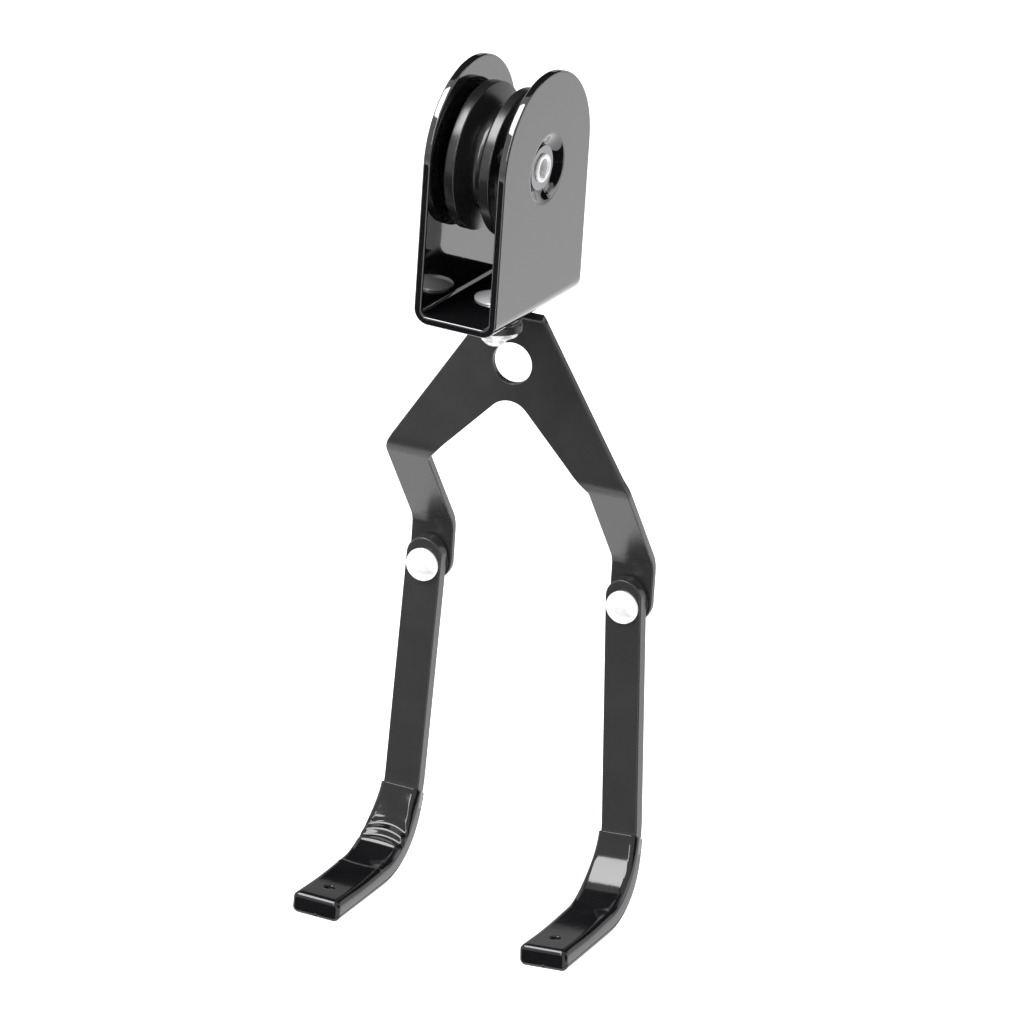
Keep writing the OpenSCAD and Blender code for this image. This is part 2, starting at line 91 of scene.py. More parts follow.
camera = bpy.data.objects.new("camera", bpy.data.cameras.new("camera"))
scene.collection.objects.link(camera)
scene.camera = camera
right, up, back = camera_axes(AZIMUTH, ELEVATION, ROLL)
camera.matrix_world = aimed(right, up, back, TARGET + back * DISTANCE)
camera.data.lens = camera.data.sensor_width * PIXELS_PER_MM * DISTANCE / MM / FRAME_PIXELS
camera.data.clip_start, camera.data.clip_end = 0.1, 50
print(f"lens {camera.data.lens:.0f} mm at {DISTANCE} m")

# %% [markdown]
# ## Shader maths
# A finish is a handful of noises, thresholds and mixes. Written as node calls that is hard to
# read, so a small class wraps a socket: `noise * 0.3 + 0.2` then adds the Math nodes itself.
# Every other kind of node comes from one method, `Finish.node`.

# %% Sockets that add up, and a material made of them
def set_socket(tree, socket, value):
    """Links a wrapped socket, or sets a plain value."""
    if isinstance(value, Socket):
        tree.links.new(value.socket, socket)
    elif isinstance(value, (tuple, list)) and len(value) == 3 and socket.type == "RGBA":
        socket.default_value = (*value, 1)
    else:
        socket.default_value = value


class Socket:
    """A shader value that can be used in sums."""

    def __init__(self, tree, socket):
        self.tree, self.socket = tree, socket

    def math(self, operation, *values, clamp=False):
        node = self.tree.nodes.new("ShaderNodeMath")
        node.operation, node.use_clamp = operation, clamp
        for socket, value in zip(node.inputs, values):
            set_socket(self.tree, socket, value)
        return Socket(self.tree, node.outputs[0])

    def __add__(self, other):
        return self.math("ADD", self, other)

    def __radd__(self, other):
        return self.math("ADD", other, self)

    def __sub__(self, other):
        return self.math("SUBTRACT", self, other)

    def __rsub__(self, other):
        return self.math("SUBTRACT", other, self)

    def __mul__(self, other):
        return self.math("MULTIPLY", self, other)

    def __rmul__(self, other):
        return self.math("MULTIPLY", other, self)

    def rise(self, low, high):
        """0 below low, 1 above high, and a straight rise between them."""
        return self.math("MULTIPLY", self - low, 1 / (high - low), clamp=True)


class Finish:
    """A material with a Principled shader, built one node at a time."""

    def __init__(self, name, **constants):
        self.material = bpy.data.materials.new(name)
        self.material.use_nodes = True
        self.tree = self.material.node_tree
        self.shader = self.tree.nodes["Principled BSDF"]
        self.set(**constants)

    def node(self, kind, settings=None, output=0, **inputs):
        """Adds a node, sets it, fills its inputs, and returns one output."""
        node = self.tree.nodes.new(kind)
        for key, value in (settings or {}).items():
            setattr(node, key, value)
        for key, value in inputs.items():
            set_socket(self.tree, node.inputs[key.replace("_", " ")], value)
        return Socket(self.tree, node.outputs[output])

    def set(self, **inputs):
        """Fills the shader's own sockets."""
        for key, value in inputs.items():
            set_socket(self.tree, self.shader.inputs[key.replace("_", " ")], value)

    def place(self):
        """The point on the piece, in metres."""
        return self.node("ShaderNodeTexCoord", output=3)

    def noise(self, size_mm, detail=2.0, stretch=(1, 1, 1)):
        """A noise whose blotches are about size_mm across."""
        scaled = self.node(
            "ShaderNodeMapping",
            {"vector_type": "POINT"},
            Vector=self.place(),
            Scale=tuple(s / (size_mm * MM) for s in stretch),
        )
        return self.node("ShaderNodeTexNoise", Vector=scaled, Scale=1.0, Detail=detail)

    def mix(self, share, first, second):
        """A colour between two, by share."""
        node = self.tree.nodes.new("ShaderNodeMix")
        node.data_type = "RGBA"
        for socket, value in zip((node.inputs[0], node.inputs[6], node.inputs[7]),
                                 (share, first, second)):
            set_socket(self.tree, socket, value)
        return Socket(self.tree, node.outputs[2])

    def bump(self, height, depth_mm, strength=1.0):
        """Waves of the surface, depth_mm high where height goes from 0 to 1."""
        self.set(Normal=self.node(
            "ShaderNodeBump", Height=height, Distance=depth_mm * MM, Strength=strength))


# %% [markdown]
# ## The finishes
# The bracket has a thick gloss paint that flows before it dries: tiny waves, called orange
# peel, break up the edges of what it mirrors. A clear coat over the colour gives the strong
# side-on reflections. The yoke and the bars are powder coated: blacker, flatter and finely
# grained. The wheel is moulded nylon with a satin skin, and the covers are dipped in soft
# gloss plastic. The rivets are bright zinc plate, but most of their white is painted
# reflection: a mostly diffuse near-white colour stands in for the white surroundings it mirrors.

# %% Gloss paint on the bracket
def gloss_paint():
    finish = Finish("gloss_paint", Coat_Weight=1.0, Coat_Roughness=0.02, Coat_IOR=1.5)
    peel = finish.noise(1.6, detail=1.0)
    blotch = finish.noise(14.0)
    finish.set(
        Base_Color=finish.mix(blotch, (0.004, 0.004, 0.005), (0.009, 0.009, 0.010)),
        Roughness=blotch * 0.06 + 0.03,
    )
    finish.bump(peel, 0.006)
    return finish.material


# %% Powder coat on the yoke and the bars
def powder_coat():
    finish = Finish("powder_coat", Specular_IOR_Level=0.4)
    grain = finish.noise(0.5, detail=2.0)
    blotch = finish.noise(9.0)
    finish.set(
        Base_Color=finish.mix(blotch, (0.026, 0.026, 0.027), (0.033, 0.033, 0.034)),
        Roughness=blotch * 0.12 + 0.17,
    )
    finish.bump(grain, 0.004)
    return finish.material


# %% Satin nylon of the wheel
def satin_nylon():
    finish = Finish("satin_nylon")
    scuff = finish.noise(1.2, detail=4.0, stretch=(0.15, 1, 1))
    blotch = finish.noise(6.0)
    finish.set(
        Base_Color=finish.mix(blotch, (0.007, 0.007, 0.008), (0.014, 0.014, 0.015)),
        Roughness=scuff * 0.14 + 0.17,
    )
    finish.bump(scuff, 0.006)
    return finish.material


# %% Soft gloss plastic of the covers
def cover_plastic():
    finish = Finish("cover_plastic", IOR=1.45)
    skin = finish.noise(2.6, detail=2.0)
    blotch = finish.noise(12.0)
    finish.set(
        Base_Color=finish.mix(blotch, (0.004, 0.004, 0.005), (0.009, 0.009, 0.010)),
        Roughness=blotch * 0.08 + 0.05,
    )
    finish.bump(skin, 0.010)
    return finish.material


# %% Plain nylon washers
def washer_plastic():
    finish = Finish("washer_plastic")
    grain = finish.noise(0.8)
    finish.set(
        Base_Color=finish.mix(grain, (0.015, 0.015, 0.016), (0.03, 0.03, 0.03)),
        Roughness=grain * 0.2 + 0.4,
    )
    return finish.material


# %% Bright plate of the rivets, whose white is mostly painted reflection, and the plainer steel
def plated(name, colour, dull, roughness, metallic=1.0):
    finish = Finish(name, Metallic=metallic)
    scratch = finish.noise(0.35, detail=3.0, stretch=(0.2, 1, 1))
    cloud = finish.noise(3.0)
    finish.set(
        Base_Color=finish.mix(cloud, colour, dull),
        Roughness=scratch * 0.10 + roughness,
    )
    finish.bump(scratch, 0.002)
    return finish.material


FINISHES = {
    "bracket_paint": gloss_paint(),
    "yoke_paint": powder_coat(),
    "wheel_plastic": satin_nylon(),
    "cover_plastic": cover_plastic(),
    "washer_plastic": washer_plastic(),
    # The rivets are only a little metallic: most of their near-white is diffuse colour, a
    # painted reflection of the white surroundings
    "rivet_chrome": plated("plate_with_painted_reflection", (0.95, 0.95, 0.96), (0.90, 0.90, 0.91), 0.14,
                           metallic=0.3),
    "axle_steel": plated("axle_steel", (0.34, 0.34, 0.35), (0.26, 0.26, 0.27), 0.16),
}
print(len(FINISHES), "finishes")

# %% Every CAD node gets the finish of its slot
for part in frame["record"]["subparts"]:
    node = frame["nodes"][part["node"]]
    node.data.materials.clear()
    node.data.materials.append(FINISHES[part["material_slot"]])

# %% [markdown]
# ## Sheet parts: cut flat, then bent
# The bracket, the yoke and both bars are sheet or flat bar. They could be modelled bent from the
# start, but a maker cuts a flat blank, breaks its sharp edges and folds it, and the same order
# is easiest here. `flat_blank` makes the blank as a closed mesh with rounded edges, and `Fold`
# says where each point of it goes. A fold keeps the sheet's thickness, so the rounded edge runs
# on through every bend and catches one unbroken line of light.

# %% Outlines with rounded corners
ARC_STEPS = 12


def rounded(outline, steps=ARC_STEPS):
    """Points (x, y, radius) as an outline whose corners are arcs."""
    points = []
    for i, (x, y, radius) in enumerate(outline):
        at = np.array([x, y], float)
        if not radius:
            points.append(at)
            continue
        before = np.array(outline[i - 1][:2], float) - at
        after = np.array(outline[(i + 1) % len(outline)][:2], float) - at
        u, v = before / np.linalg.norm(before), after / np.linalg.norm(after)
        half = math.acos(float(u @ v)) / 2
        middle = at + (u + v) / np.linalg.norm(u + v) * radius / math.sin(half)
        first = at + u * radius / math.tan(half) - middle
        last = at + v * radius / math.tan(half) - middle
        sweep = math.atan2(first[0] * last[1] - first[1] * last[0], float(first @ last))
        for k in range(steps + 1):
            c, s = math.cos(sweep * k / steps), math.sin(sweep * k / steps)
            points.append(middle + np.array([first[0] * c - first[1] * s,
                                             first[0] * s + first[1] * c]))
    return np.array(points)


def finely(points, step):
    """The same closed outline with no edge longer than step."""
    out = []
    for a, b in zip(points, np.roll(points, -1, axis=0)):
        parts = max(1, math.ceil(np.linalg.norm(b - a) / step))
        out += [a + (b - a) * k / parts for k in range(parts)]
    return np.array([p for i, p in enumerate(out) if np.linalg.norm(p - out[i - 1]) > 1e-6])


def ring(x, y, radius, steps=64):
    """A round hole's outline, clockwise so that its inside is outside the sheet."""
    turn = -2 * math.pi * np.arange(steps) / steps
    return np.stack([x + radius * np.cos(turn), y + radius * np.sin(turn)], 1)


# %% The fold of a strip
class Fold:
    """A strip's path seen on its edge. Corners are (a, b, inside radius), and the sheet's
    thickness lies to the left of the way the path runs."""

    def __init__(self, corners, thickness):
        points = [np.array(c[:2], float) for c in corners]
        self.pieces, self.bends, self.length = [], [], 0.0
        start, trim = points[0], 0.0
        for i in range(1, len(points)):
            way = (points[i] - start) / np.linalg.norm(points[i] - start)
            turn = tangent = 0.0
            if i < len(points) - 1:
                ahead = (points[i + 1] - points[i]) / np.linalg.norm(points[i + 1] - points[i])
                turn = math.atan2(way[0] * ahead[1] - way[1] * ahead[0], float(way @ ahead))
                inside = corners[i][2]
                radius = inside + thickness if turn > 0 else inside
                tangent = radius * math.tan(abs(turn) / 2)
            run = np.linalg.norm(points[i] - start) - tangent
            self.pieces.append((self.length, start, way, 0.0, 0.0))
            self.length += run
            if turn:
                middle_radius = corners[i][2] + thickness / 2
                self.pieces.append((self.length, start + way * run, way, turn, radius))
                bend = abs(turn) * middle_radius
                self.bends.append((self.length, bend))
                self.length += bend
                start = points[i] + ahead * tangent
        self.thickness = thickness

    def point(self, s, w):
        """Where the blank's point at length s and height w comes to lie."""
        first, start, way, turn, radius = [p for p in self.pieces if p[0] <= s + 1e-9][-1]
        left = np.array([-way[1], way[0]])
        if not turn:
            return start + way * (s - first) + left * w
        side = math.copysign(1, turn)
        bend = next(b for at, b in self.bends if abs(at - first) < 1e-9)
        angle = turn * (s - first) / bend
        arm = radius - side * w
        c, d = math.cos(angle), math.sin(angle)
        middle = start + left * side * radius
        out = -left * side * arm
        return middle + np.array([out[0] * c - out[1] * d, out[0] * d + out[1] * c])

    def cuts(self, steps):
        """Lengths at which the blank needs an edge to bend smoothly."""
        return [at + bend * k / steps for at, bend in self.bends for k in range(steps + 1)]


# %% A flat blank with rounded edges
EDGE_STEPS = 5


def inset(loop, distance):
    """The loop moved into the sheet, which lies to its left."""
    before = loop - np.roll(loop, 1, axis=0)
    after = np.roll(loop, -1, axis=0) - loop
    before /= np.linalg.norm(before, axis=1)[:, None]
    after /= np.linalg.norm(after, axis=1)[:, None]
    normal = np.stack([-(before + after)[:, 1], (before + after)[:, 0]], 1)
    normal /= np.linalg.norm(normal, axis=1)[:, None]
    widen = (normal * np.stack([-before[:, 1], before[:, 0]], 1)).sum(1)
    return loop + normal * (distance / np.maximum(widen, 0.5))[:, None]


def edge_rings(loop, thickness, edge):
    """Rings of points from the lower face round the rounded edge to the upper face."""
    quarter = [math.pi / 2 * k / EDGE_STEPS for k in range(EDGE_STEPS + 1)]
    low = [(edge * (1 - math.sin(a)), edge * (1 - math.cos(a))) for a in quarter]
    steps = low + [(i, thickness - h) for i, h in reversed(low)]
    return [[(*p, h) for p in inset(loop, i)] for i, h in steps]


def dish_rings(x, y, radii, thickness, steps=96):
    """Rings of points across a pressed dish: down its lower face, up its upper face."""
    turn = 2 * math.pi * np.arange(steps) / steps
    def at(radius, height):
        return [(x + radius * math.cos(t), y - radius * math.sin(t), height) for t in turn]
    return [at(r, 0.0) for r in radii] + [at(r, thickness) for r in reversed(radii)]


def flat_blank(ring_sets, cuts):
    """A closed bmesh from sets of rings. Both faces are filled between the sets' end rings."""
    mesh = bmesh.new()
    ends = ([], [])
    for rings in ring_sets:
        rows = [[mesh.verts.new(p) for p in points] for points in rings]
        for low, high in zip(rows, rows[1:]):
            for k in range(len(low)):
                m = (k + 1) % len(low)
                mesh.faces.new((low[k], low[m], high[m], high[k]))
        for end, row in zip(ends, (rows[0], rows[-1])):
            end.extend(mesh.edges.get((row[k], row[k - 1])) for k in range(len(row)))
    for end in ends:
        bmesh.ops.triangle_fill(mesh, edges=end, use_beauty=True)
    for cut in cuts:
        bmesh.ops.bisect_plane(
            mesh, geom=mesh.verts[:] + mesh.edges[:] + mesh.faces[:], dist=1e-6,
            plane_co=(0, cut, 0), plane_no=(0, 1, 0))
    return mesh


# %% From a blank or a set of faces to a finished piece
def piece_from(mesh, name, body, slot, node, place, sharp=None):
    """Turns a bmesh in millimetres into a piece that rides on a body and stands for a node."""
    bmesh.ops.remove_doubles(mesh, verts=mesh.verts[:], dist=1e-5)
    bmesh.ops.recalc_face_normals(mesh, faces=mesh.faces[:])
    for face in mesh.faces:
        face.smooth = True
    data = bpy.data.meshes.new(name)
    mesh.to_mesh(data)
    mesh.free()
    data.transform(place @ Matrix.Diagonal((MM, MM, MM, 1)))
    piece = bpy.data.objects.new(name, data)
    scene.collection.objects.link(piece)
    data.materials.append(FINISHES[slot])
    if sharp:
        data.set_sharp_from_angle(angle=math.radians(sharp))
    weigh = piece.modifiers.new("even shading", "WEIGHTED_NORMAL")
    weigh.weight, weigh.keep_sharp = 80, True
    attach(piece, body)
    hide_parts(node)
    print(f"{name}: {len(data.polygons)} faces")
    return piece


# %% [markdown]
# ## The bracket
# One strip of 2.2 mm sheet with two round ends is folded into a U. Each end is an ear, and each
# ear has a dish pressed in round the axle's hole, so that the rivet's ends lie below the face.
# The dish is part of the blank's mesh as rings of points, and it is pressed by moving those
# rings through the sheet.

# %% Bracket sizes and blank
SHEET = 2.2
EAR_R, EAR_TOP, FLOOR_Z_MM, OUTER_HALF = 24.0, 26.0, -40.5, 12.0
DISH_R, DISH_FLOOR_R, DISH_DEPTH, AXLE_HOLE_R = 9.0, 6.15, 1.9, 3.25
PAINT_EDGE, HOLE_EDGE = 0.55, 0.2
# Holes for 5 mm rivets: tight where the rivet is fixed, free where a piece turns on it
TIGHT_R, FREE_R = 2.55, 2.58

bracket_fold = Fold([
    (-OUTER_HALF, EAR_TOP, 0), (-OUTER_HALF, FLOOR_Z_MM, 2.0),
    (OUTER_HALF, FLOOR_Z_MM, 2.0), (OUTER_HALF, EAR_TOP, 0)], SHEET)


def ear_end(centre, first, steps=72):
    """Half a circle round an ear's end."""
    turn = first + math.pi * np.arange(steps + 1) / steps
    return [(EAR_R * math.cos(t), centre + EAR_R * math.sin(t)) for t in turn]


def pressed(radius):
    """How deep the dish is at a distance from the axle, with soft edges."""
    share = np.clip((DISH_R + 0.5 - radius) / (DISH_R + 0.5 - (DISH_FLOOR_R - 0.1)), 0, 1)
    return DISH_DEPTH * (share * share * (3 - 2 * share) * 0.55 + share * 0.45)


def make_bracket():
    length = bracket_fold.length
    outline = finely(np.array(ear_end(length - EAR_R, 0) + ear_end(EAR_R, math.pi)), 1.5)
    axle_places = (EAR_TOP, length - EAR_TOP)
    radii = [DISH_R + 1.0] + list(np.linspace(DISH_R + 0.5, DISH_FLOOR_R - 0.1, 14))
    radii += [5.0, AXLE_HOLE_R]
    sets = [edge_rings(outline, SHEET, PAINT_EDGE)]
    sets += [dish_rings(0, s, radii, SHEET) for s in axle_places]
    sets.append(edge_rings(ring(0, length / 2, TIGHT_R), SHEET, HOLE_EDGE))
    mesh = flat_blank(sets, bracket_fold.cuts(10))
    for vert in mesh.verts:
        y, s, w = vert.co
        for place in axle_places:
            w += float(pressed(math.hypot(y, s - place)))
        x, z = bracket_fold.point(s, w)
        vert.co = (x, y, z)
    return piece_from(mesh, "bracket_shell", "bracket", "bracket_paint", "bracket", Matrix())


make_bracket()

# %% [markdown]
# ## The yoke
# The yoke is one blank too. Its tongue lies under the bracket, its plate hangs from the tongue
# with a round hole in it, and below the notch two legs slope back and end in lugs. Seen from
# the front its outline is simple, so the outline is drawn there, and each height is then
# turned into a length along the strip.

# %% Yoke sizes and blank
TONGUE_R, TONGUE_Z, PLATE_Y = 7.7, -45.9, 12.8
KNEE_Z, LUG_Z, LUG_Y, PIVOT_Z = -89.4, -116.8, 35.2, -127.8
PIVOT_HALF, LEG_W, KNEE_SKEW = 28.9, 12.0, 2.2
LEG_IN, LEG_OUT = PIVOT_HALF - LEG_W / 2, PIVOT_HALF + LEG_W / 2
HOLE_Z, HOLE_R, NOTCH_Z, NOTCH_R = -60.0, 5.6, -67.7, 6.5
KNEE_FOLD_R, LUG_FOLD_R, KNEE_OUTER_R, KNEE_INNER_R = 7.0, 6.5, 7.0, 2.0
YOKE_EDGE, YOKE_HOLE_EDGE = 0.35, 0.3
YOKE_TURN = math.radians(4)

yoke_fold = Fold([
    (-TONGUE_R, TONGUE_Z, 0), (PLATE_Y, TONGUE_Z, 2.0), (PLATE_Y, KNEE_Z, KNEE_FOLD_R),
    (LUG_Y, LUG_Z, LUG_FOLD_R), (LUG_Y, PIVOT_Z - LEG_W / 2, 0)], SHEET)
lengths = np.linspace(yoke_fold.bends[0][0], yoke_fold.length, 800)
heights = np.array([yoke_fold.point(s, SHEET / 2)[1] for s in lengths])


def yoke_length(z):
    """The length along the strip at which its middle is at height z."""
    return float(np.interp(-z, -heights, lengths))


def yoke_outline():
    """Half the outline from the notch round to the tongue's end, then mirrored."""
    corners = rounded([
        (0, NOTCH_Z, NOTCH_R), (LEG_IN, KNEE_Z - KNEE_SKEW, KNEE_INNER_R),
        (LEG_IN, PIVOT_Z, 0), (LEG_OUT, PIVOT_Z, 0), (LEG_OUT, KNEE_Z, KNEE_OUTER_R),
        (TONGUE_R, TONGUE_Z, 0), (-TONGUE_R, TONGUE_Z, 0), (-LEG_OUT, KNEE_Z, KNEE_OUTER_R),
        (-LEG_OUT, PIVOT_Z, 0), (-LEG_IN, PIVOT_Z, 0),
        (-LEG_IN, KNEE_Z - KNEE_SKEW, KNEE_INNER_R)])
    half = [tuple(p) for p in finely(corners, 1.2) if p[0] > 1e-6 and p[1] < TONGUE_Z + 1e-6]
    lug = [(x, z) for x, z in half if z <= PIVOT_Z + 1e-6]
    ends = [i for i, p in enumerate(half) if p in lug]
    turn = np.linspace(math.pi, 2 * math.pi, 33)[1:-1]
    round_lug = [(PIVOT_HALF + LEG_W / 2 * math.cos(t), PIVOT_Z + LEG_W / 2 * math.sin(t))
                 for t in turn]
    half = half[:ends[0] + 1] + round_lug + half[ends[-1]:]
    flat = [(x, yoke_length(z)) for x, z in half]
    tip = [(TONGUE_R * math.sin(t), TONGUE_R - TONGUE_R * math.cos(t))
           for t in np.linspace(math.pi / 2, 0, 25)]
    flat += tip
    notch = (0.0, yoke_length(max(p[1] for p in corners if abs(p[0]) < 0.5)))
    left = [(-x, s) for x, s in reversed(flat[:-1])]
    return np.array([notch] + flat + left)


def make_yoke():
    outline = yoke_outline()
    area = 0.5 * sum(a[0] * b[1] - a[1] * b[0]
                     for a, b in zip(outline, np.roll(outline, -1, axis=0)))
    if area < 0:
        outline = outline[::-1]
    holes = [ring(0, TONGUE_R, FREE_R, 48), ring(0, yoke_length(HOLE_Z), HOLE_R)]
    holes += [ring(side * PIVOT_HALF, yoke_length(PIVOT_Z), TIGHT_R, 48) for side in (-1, 1)]
    sets = [edge_rings(outline, SHEET, YOKE_EDGE)]
    sets += [edge_rings(hole, SHEET, YOKE_HOLE_EDGE) for hole in holes]
    mesh = flat_blank(sets, yoke_fold.cuts(10))
    for vert in mesh.verts:
        x, s, w = vert.co
        y, z = yoke_fold.point(s, w)
        vert.co = (x, y, z)
    return piece_from(mesh, "yoke_blank", "yoke", "yoke_paint", "yoke",
                      Matrix.Rotation(YOKE_TURN, 4, "Z"))


make_yoke()

# %% [markdown]
# ## The hook bars
# Each hook is a flat bar with a round top, bent forward at the bottom. Left and right are the
# same bar. They only hang at slightly different angles, so one function makes both, and
# `hook_place` says where each hook's own frame is: its pivot at height 0, the bar's back at
# depth 0.

# %% Bars
BAR_W, BAR_T, BAR_TOP, BAR_EDGE = 10.2, 4.2, 7.4, 0.45
HOOK_DROP, HOOK_REACH, BEND_R, TIP_SOLID = 82.0, 50.2, 19.0, 2.4
BAR_Y = LUG_Y - 0.7
SPLAY = {"left": math.radians(2.0), "right": math.radians(-3.0)}
TWIST = {"left": math.radians(-0.75), "right": 0.0}
SIDE = {"left": -1, "right": 1}


def hook_place(side):
    pivot = Vector((SIDE[side] * PIVOT_HALF, BAR_Y, PIVOT_Z)) * MM
    return (Matrix.Rotation(YOKE_TURN, 4, "Z") @ Matrix.Translation(pivot)
            @ Matrix.Rotation(TWIST[side], 4, "Z") @ Matrix.Rotation(SPLAY[side], 4, "Y"))


bar_fold = Fold([
    (-BAR_T - HOOK_REACH + TIP_SOLID, -HOOK_DROP - BAR_T / 2, 0),
    (0, -HOOK_DROP - BAR_T / 2, BEND_R), (0, BAR_TOP, 0)], BAR_T)


def make_bar(side):
    top = bar_fold.length
    turn = np.linspace(0, math.pi, 49)
    arc = [(BAR_W / 2 * math.cos(t), top - BAR_W / 2 + BAR_W / 2 * math.sin(t)) for t in turn]
    outline = finely(np.array([(-BAR_W / 2, 0), (BAR_W / 2, 0)] + arc), 4.0)
    sets = [edge_rings(outline, BAR_T, BAR_EDGE)]
    sets.append(edge_rings(ring(0, top - BAR_TOP, FREE_R, 48), BAR_T, HOLE_EDGE))
    mesh = flat_blank(sets, bar_fold.cuts(24))
    for vert in mesh.verts:
        x, s, w = vert.co
        y, z = bar_fold.point(s, w)
        vert.co = (x, y, z)
    return piece_from(mesh, f"flat_bar_{side}", f"hook_{side}", "yoke_paint",
                      f"hook_bar_{side}", hook_place(side))


for side in SIDE:
    make_bar(side)

# %% [markdown]
# ## The covers
# A cover is moulded round the bent end of its bar. It follows the bar's middle line, gets wider
# towards the tip, and is thicker inside the bend, where the handlebar lies. It is a loft: one
# round-cornered section, placed again and again along that line. The left cover was pushed on
# with a few folds inside the bend: a low swell, then two shallow valleys across it that droop
# at the sides, and two low ridges below them.

# %% Sections of a cover
COVER_LAP, COVER_ROUND = -3.9, 1.8
# At even shares of the cover's length: half its width, and its height over the bar's middle
# inside the bend and outside it
HALF_WIDTHS = (5.75, 6.5, 6.65, 6.75, 6.85)
INSIDES = (3.2, 4.1, 3.3, 2.8, 3.15)
OUTSIDES = (2.55, 2.6, 3.0, 3.0, 2.95)
# The mouth is cut aslant, so that its back is lower, and a little further down it is square
MOUTH_SLANT, SLANT_RUN = 1.7, 9.0
# The mould's parting groove on the sides: its height, half its width and its depth
PARTING, PARTING_HALF, PARTING_DEPTH = -1.0, 0.16, 0.14
# The small hole near the tip with its flared mouth, and the gate mark on the end
VENT_R, VENT_BACK, VENT_FLARE, GATE_R = 1.45, 8.8, 0.8, 0.8
MIDDLE_R = BEND_R + BAR_T / 2
BEND_LENGTH = MIDDLE_R * math.pi / 2
COVER_LENGTH = COVER_LAP + BEND_LENGTH + HOOK_REACH - BEND_R
BEND_Z = MIDDLE_R - HOOK_DROP
FOLD_HEIGHT = 0.9
# Place, droop towards the sides and length of a flank as shares of the cover's length, and
# the share of FOLD_HEIGHT, below 0 for a valley
COVER_FOLDS = [
    (0.070, 0.042, 0.050, 0.45), (0.195, 0.042, 0.028, -1.00), (0.272, 0.030, 0.026, -1.00),
    (0.318, 0.010, 0.012, 0.25), (0.565, -0.020, 0.012, 0.20)]


def along_cover(values, s):
    """A smooth curve through values that stand at even shares of the cover's length."""
    place = min(max(s / COVER_LENGTH, 0.0), 1.0) * (len(values) - 1)
    i = min(int(place), len(values) - 2)
    t = place - i
    a, b = values[max(i - 1, 0)], values[i]
    c, d = values[i + 1], values[min(i + 2, len(values) - 1)]
    return b + t / 2 * (c - a + t * (2 * a - 5 * b + 4 * c - d + t * (3 * (b - c) + d - a)))


def bend_angle(s):
    return min(max((s - COVER_LAP) / MIDDLE_R, 0.0), math.pi / 2)


def half_width(s):
    return along_cover(HALF_WIDTHS, s)


def fold_height(s, u, folded):
    if not folded:
        return 0.0
    x = s / COVER_LENGTH
    side = (u / half_width(s)) ** 2
    return FOLD_HEIGHT * sum(
        h * math.exp(-((x - at - droop * side) / flank) ** 2)
        for at, droop, flank, h in COVER_FOLDS)


def placed(s, u, v):
    """A point of a section: u across the cover, v from the bar's middle towards the inside."""
    s -= MOUTH_SLANT / 2 * v / OUTSIDES[0] * max(0.0, 1 - s / SLANT_RUN) ** 2
    a = bend_angle(s)
    before, after = min(0.0, s - COVER_LAP), max(0.0, s - COVER_LAP - BEND_LENGTH)
    y = -BAR_T / 2 - MIDDLE_R + MIDDLE_R * math.cos(a) - after
    z = BEND_Z - MIDDLE_R * math.sin(a) - before
    return (u, y - math.cos(a) * v, z + math.sin(a) * v)


def cover_section(s, shrink, folded, corner=8, across=32):
    """One section, drawn inwards by shrink, as points (u, v)."""
    r = COVER_ROUND - shrink
    u0 = half_width(s) - shrink - r
    top = along_cover(INSIDES, s) - shrink - r
    low = -(along_cover(OUTSIDES, s) - shrink - r)
    points = []
    for k in range(corner + 1):
        a = -math.pi / 2 + math.pi / 2 * k / corner
        points.append((u0 + r * math.cos(a), low + r * math.sin(a)))
    for k in range(corner + 1):
        a = math.pi / 2 * k / corner
        u = u0 + r * math.cos(a)
        points.append((u, top + r * math.sin(a) + math.sin(a) * fold_height(s, u, folded)))
    for k in range(1, across):
        u = u0 - 2 * u0 * k / across
        points.append((u, top + r + fold_height(s, u, folded)))
    groove = [(u0 + r, PARTING + PARTING_HALF), (u0 + r - PARTING_DEPTH, PARTING),
              (u0 + r, PARTING - PARTING_HALF)]
    points[corner + 1:corner + 1] = groove[::-1]
    left = [(-u, v) for u, v in points[:2 * (corner + 1) + len(groove)]]
    return points + left[::-1]


# %% Cover lofts
TIP_ROUND = 1.5
LIP = 0.30


def loft(mesh, rings, close_first=False, close_last=False):
    rows = [[mesh.verts.new(p) for p in points] for points in rings]
    for low, high in zip(rows, rows[1:]):
        for k in range(len(low)):
            m = (k + 1) % len(low)
            mesh.faces.new((low[k], low[m], high[m], high[k]))
    if close_first:
        mesh.faces.new(rows[0])
    if close_last:
        mesh.faces.new(rows[-1])
    return rows


def cover_rings(folded):
    """Rings from deep inside the cavity, over the lip, along the outside and round the tip."""
    rings = []
    reach = COVER_LENGTH - TIP_SOLID
    cavity = (BAR_W / 2 + 0.05, BAR_T / 2 + 0.05)
    mouth = cover_section(0.0, 0.0, False)

    def inner(s):
        """The cavity round the bar: the mouth's points pressed onto a square-cornered oblong."""
        return [placed(s, max(-cavity[0], min(cavity[0], u)),
                       max(-cavity[1], min(cavity[1], v))) for u, v in mouth]

    rings += [inner(reach * k / 40) for k in range(40, 0, -1)]
    rings.append(inner(LIP))
    for k in range(5):
        a = math.pi / 2 * k / 4
        drawn = LIP * (1 - math.sin(a))
        rings.append([placed(LIP * (1 - math.cos(a)), u, v)
                      for u, v in cover_section(0.0, drawn, folded)])
    body = COVER_LENGTH - TIP_ROUND
    for s in np.concatenate([np.linspace(0.4, body * 0.42, 130),
                             np.linspace(body * 0.42, body, 70)[1:]]):
        rings.append([placed(s, u, v) for u, v in cover_section(s, 0.0, folded)])
    for k in range(1, 11):
        a = math.pi / 2 * k / 10
        s = body + TIP_ROUND * math.sin(a)
        drawn = TIP_ROUND * (1 - math.cos(a))
        rings.append([placed(s, u, v) for u, v in cover_section(s, drawn, False)])
    return rings


